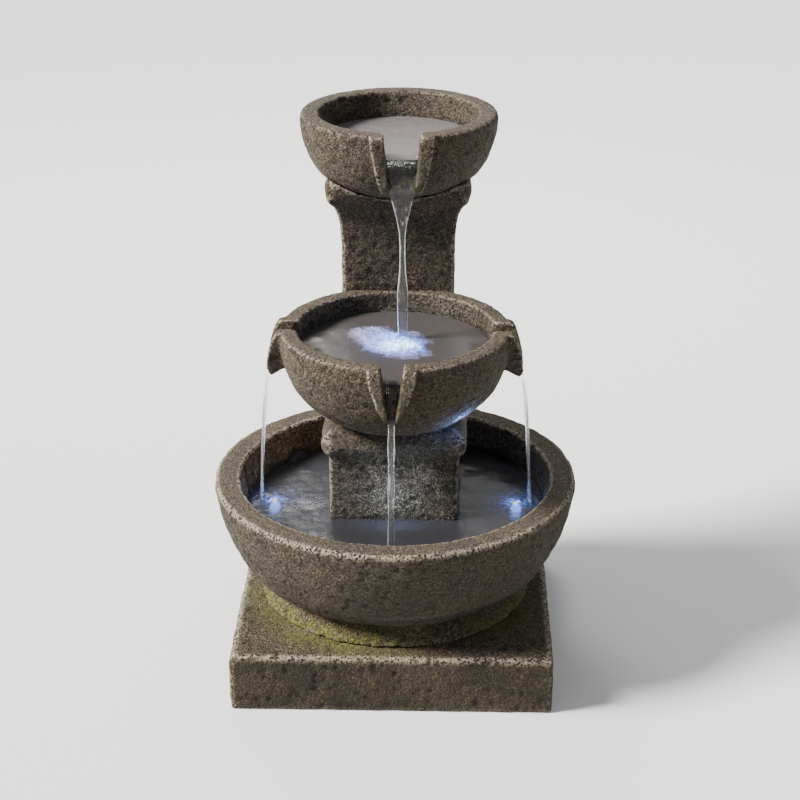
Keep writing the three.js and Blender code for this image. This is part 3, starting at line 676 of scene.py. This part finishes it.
def make_foam():
    """The white water over the middle lamp: a lumpy skin that ends in an uneven edge."""
    span = np.arange(-FOAM_REACH * 1.5, FOAM_REACH * 1.5, FOAM_GRID)
    count = len(span)
    grid = np.stack(np.meshgrid(span, span, indexing="ij"), axis=-1).reshape(-1, 2)
    points = np.column_stack([grid + np.array([FOAM.x, FOAM.y]), np.full(len(grid), MIDDLE_WATER)])
    long = (grid[:, 0] - grid[:, 1]) * math.sqrt(0.5)
    across = (grid[:, 0] + grid[:, 1]) * math.sqrt(0.5)
    away = np.hypot(long / 1.22, across / 0.84) / FOAM_REACH
    edge = 1 - away + 0.24 * noise(points, 13 * MM, 61) + 0.09 * noise(points, 3.5 * MM, 62)
    edge += 0.05 * noise(points, 1.4 * MM, 66)
    lumps = 0.55 + 0.30 * noise(points, 7 * MM, 63) + 0.15 * noise(points, 2.6 * MM, 64)
    lumps += 0.12 * noise(points, 1.2 * MM, 65)
    points[:, 2] += ramp(edge, 0.10, 0.75) * np.clip(lumps, 0.05, 1.3) * FOAM_HEIGHT
    core = near(points * np.array([0.62, 1, 1]), 0.62 * (FOAM.x + 8 * MM), FOAM.y - 11 * MM, 10 * MM)
    glow = (1.1 * core + 0.16 * near(points, FOAM.x, FOAM.y - 4 * MM, 26 * MM)) * ramp(edge, 0.05, 0.35)
    start = (np.arange(count - 1)[:, None] * count + np.arange(count - 1)[None, :]).ravel()
    start = start[edge[start] > 0.08]
    faces = np.column_stack([start, start + count, start + count + 1, start + 1])
    used = np.unique(faces)
    place = np.zeros(len(points), int)
    place[used] = np.arange(len(used))
    piece = mesh_from("middle_foam", points[used], place[faces].tolist())
    paint(piece.data, "glow", glow[used])
    paint(piece.data, "body", ramp(edge[used], 0.06, 0.50))
    piece.data.materials.append(foam_material())
    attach(piece, "root")


def make_water():
    last = SPOUT_FALL[-1][0] * MM
    landings = [
        (MIDDLE_AXIS.x + last * math.sin(turn), MIDDLE_AXIS.y - last * math.cos(turn))
        for turn in MIDDLE_TURNS
    ]
    drop = TOP_FALL[-1][0] * MM
    splash = (TOP_AXIS.x + drop * math.sin(TOP_TURN), TOP_AXIS.y - drop * math.cos(TOP_TURN))
    lamps = [centre_of("lamp_lens_left"), centre_of("lamp_lens_right")]

    def ripples(places, seed, spouts=()):
        return lambda p: (
            0.18 * MM * noise(p, 12 * MM, seed) + 0.08 * MM * noise(p, 5 * MM, seed + 1)
            + rings_from(p, places)
            - sum(dip_to_spout(p, *spout) for spout in spouts)
        )

    middle_spouts = [(MIDDLE_AXIS, turn, MIDDLE_POOL, MIDDLE_CHANNEL - 1 * MM) for turn in MIDDLE_TURNS]
    top_spouts = [(TOP_AXIS, TOP_TURN, TOP_POOL, TOP_CHANNEL - 1 * MM)]

    def basin_glow(p):
        return sum(0.95 * near(p, c.x, c.y, 5 * MM) + 0.09 * near(p, c.x, c.y, 14 * MM) for c in lamps)

    make_sheet("basin_water", Vector((0, 0)), BASIN_POOL, BASIN_WATER, ripples(landings, 41), basin_glow,
               pool_material("basin_pool", (0.036, 0.037, 0.042), 0.25, 0.20), rings=96, around=192)
    make_sheet("middle_water", MIDDLE_AXIS, MIDDLE_POOL, MIDDLE_WATER, ripples([splash], 43, middle_spouts),
               lambda p: 0.25 * near(p, MIDDLE_AXIS.x - 2 * MM, MIDDLE_AXIS.y, 14 * MM),
               pool_material("middle_pool", (0.125, 0.112, 0.108), 0.50, 0.30))
    make_sheet("top_water", TOP_AXIS, TOP_POOL, TOP_WATER, ripples([], 45, top_spouts),
               lambda p: np.zeros(len(p)), pool_material("top_pool", (0.25, 0.225, 0.23), 0.40, 0.26))

    make_foam()
    clear = stream_material()
    make_fall("top_fall", TOP_AXIS, TOP_TURN, TOP_FALL, clear, 71, steps=260, around=40)
    for name, turn in zip(("front_fall", "left_fall", "right_fall"), MIDDLE_TURNS):
        make_fall(name, MIDDLE_AXIS, turn, SPOUT_FALL, clear, 81)


# ---------------------------------------------------------------- stage

def area_light(name, place, aim, size, power, colour, hidden=False):
    """A square lamp; a hidden one lights surfaces but isn't seen in water or reflections."""
    data = bpy.data.lights.new(name, "AREA")
    data.size = size
    data.energy = power
    data.color = colour
    light = bpy.data.objects.new(name, data)
    light.location = place
    light.rotation_euler = (Vector(aim) - Vector(place)).to_track_quat("-Z", "Y").to_euler()
    light.visible_glossy = light.visible_transmission = not hidden
    bpy.context.scene.collection.objects.link(light)


def point_light(name, place, power, colour, hidden=False):
    data = bpy.data.lights.new(name, "POINT")
    data.energy = power
    data.color = colour
    data.shadow_soft_size = 4 * MM
    light = bpy.data.objects.new(name, data)
    light.location = place
    light.visible_glossy = light.visible_transmission = not hidden
    bpy.context.scene.collection.objects.link(light)


def make_lamplight():
    """The lamps' light on the stone near them, helped by small lights that aren't seen themselves."""
    for side in ("left", "right"):
        lamp = centre_of("lamp_lens_" + side)
        point_light("lamp_" + side, (lamp.x, lamp.y, BASIN_WATER + 5 * MM), 0.012, LAMP_BLUE)
    pier = (0, MIDDLE_AXIS.y - 30 * MM, BASIN_WATER + 24 * MM)
    area_light("pier_glow", (0, MIDDLE_AXIS.y - 54 * MM, BASIN_WATER + 14 * MM), pier, 8 * MM, 0.045,
               PALE_BLUE, hidden=True)
    under = (31 * MM, MIDDLE_AXIS.y - 30 * MM, MIDDLE_TOP - 38 * MM)
    beside = (47 * MM, MIDDLE_AXIS.y - 46 * MM, MIDDLE_TOP - 51 * MM)
    area_light("bowl_glow", beside, under, 8 * MM, 0.036, LAMP_BLUE, hidden=True)
    wall = (-80 * MM, 56 * MM, BASIN_TOP - 10 * MM)
    area_light("basin_fill", (-54 * MM, -14 * MM, BASIN_WATER + 14 * MM), wall, 16 * MM, 0.030,
               WARM, hidden=True)
    point_light("foam_light", (FOAM.x, FOAM.y, MIDDLE_WATER + 12 * MM), 0.030, LAMP_BLUE, hidden=True)


def make_stage():
    s = Shader("floor")
    s.surface(Base_Color=(0.90, 0.90, 0.90), Roughness=0.9)
    bpy.ops.mesh.primitive_plane_add(size=8)
    floor = bpy.context.object
    floor.name = "floor"
    floor.data.materials.append(s.material)
    floor.visible_diffuse = False  # the floor is seen, but throws no light up at the stone
    world = bpy.data.worlds.new("studio")
    world.use_nodes = True
    world.node_tree.nodes["Background"].inputs["Color"].default_value = (0.95, 0.97, 1.0, 1)
    world.node_tree.nodes["Background"].inputs["Strength"].default_value = 0.42
    bpy.context.scene.world = world
    middle = (0, 0.02, 0.19)
    sun = bpy.data.lights.new("key", "SUN")
    sun.energy = 10.0
    sun.angle = math.radians(16)
    sun.color = (1.0, 0.965, 0.93)
    key = bpy.data.objects.new("key", sun)
    key.rotation_euler = Vector((1.2, 0.24, -0.95)).to_track_quat("-Z", "Y").to_euler()
    bpy.context.scene.collection.objects.link(key)
    area_light("back", (-0.35, 1.0, 1.0), middle, 0.5, 7, STUDIO_WHITE)
    area_light("back_right", (0.26, 0.9, 0.62), middle, 0.6, 0.8, STUDIO_WHITE)


def make_castings():
    stone = stone_material()
    make_plinth(stone)
    make_basin(stone)
    middle_spouts = [(angle, MIDDLE_CHANNEL) for angle in MIDDLE_TURNS]
    make_spouted_bowl("middle_bowl", MIDDLE_AXIS, MIDDLE_RADIUS, MIDDLE_LIP, MIDDLE_TOP,
                      MIDDLE_WATER, middle_spouts, stone, 31)
    make_spouted_bowl("top_bowl", TOP_AXIS, TOP_RADIUS, TOP_LIP, TOP_TOP,
                      TOP_WATER, [(TOP_TURN, TOP_CHANNEL)], stone, 51)
    make_upright("pedestal", 1.2 * MM, stone, 61, BASIN_WATER)
    make_upright("rear_column", 1.2 * MM, stone, 71)
    make_upright("access_door", 0.9 * MM, stone, 81)


def dress(node, material):
    NODES[node].data.materials.clear()
    NODES[node].data.materials.append(material)


def dress_parts():
    """Materials for the working parts, which keep their CAD shapes."""
    finishes = {
        "mat_rubber": plain_material("mat_rubber", (0.03, 0.03, 0.03), 0.85,
                                     size=1.5 * MM, depth=0.2 * MM),
        "black_rubber": plain_material("black_rubber", (0.02, 0.02, 0.021), 0.7),
        "lead_sheath": plain_material("lead_sheath", (0.022, 0.022, 0.024), 0.45, size=0.4 * MM),
        "pump_plastic": plain_material("pump_plastic", (0.03, 0.034, 0.04), 0.5),
        "dial_plastic": plain_material("dial_plastic", (0.2, 0.2, 0.21), 0.45),
        "impeller_plastic": plain_material("impeller_plastic", (0.05, 0.12, 0.30), 0.3),
        "core_steel": plain_material("core_steel", (0.5, 0.5, 0.5), 0.4, 1.0, size=0.35 * MM),
        "coil_copper": plain_material("coil_copper", (0.65, 0.3, 0.15), 0.35, 1.0,
                                      size=0.4 * MM, depth=0.15 * MM),
        "ferrite": plain_material("ferrite", (0.06, 0.06, 0.065), 0.55),
        "shaft_ceramic": plain_material("shaft_ceramic", (0.85, 0.82, 0.75), 0.2),
        "filter_foam": plain_material("filter_foam", (0.03, 0.035, 0.04), 0.95,
                                      size=1.1 * MM, depth=0.8 * MM),
        "clear_tubing": plain_material("clear_tubing", (0.6, 0.66, 0.68), 0.2),
        "board_white": plain_material("board_white", (0.85, 0.85, 0.82), 0.4),
    }
    for row in frame["record"]["subparts"]:
        if row["material_slot"] in finishes:
            dress(row["node"], finishes[row["material_slot"]])
    for side, strength in (("left", 9), ("right", 9), ("middle", 0.35)):
        dress("lamp_lens_" + side, lens_material("lamp_lens_" + side, strength))


make_camera()
make_castings()
dress_parts()
make_water()
make_lamplight()
make_stage()
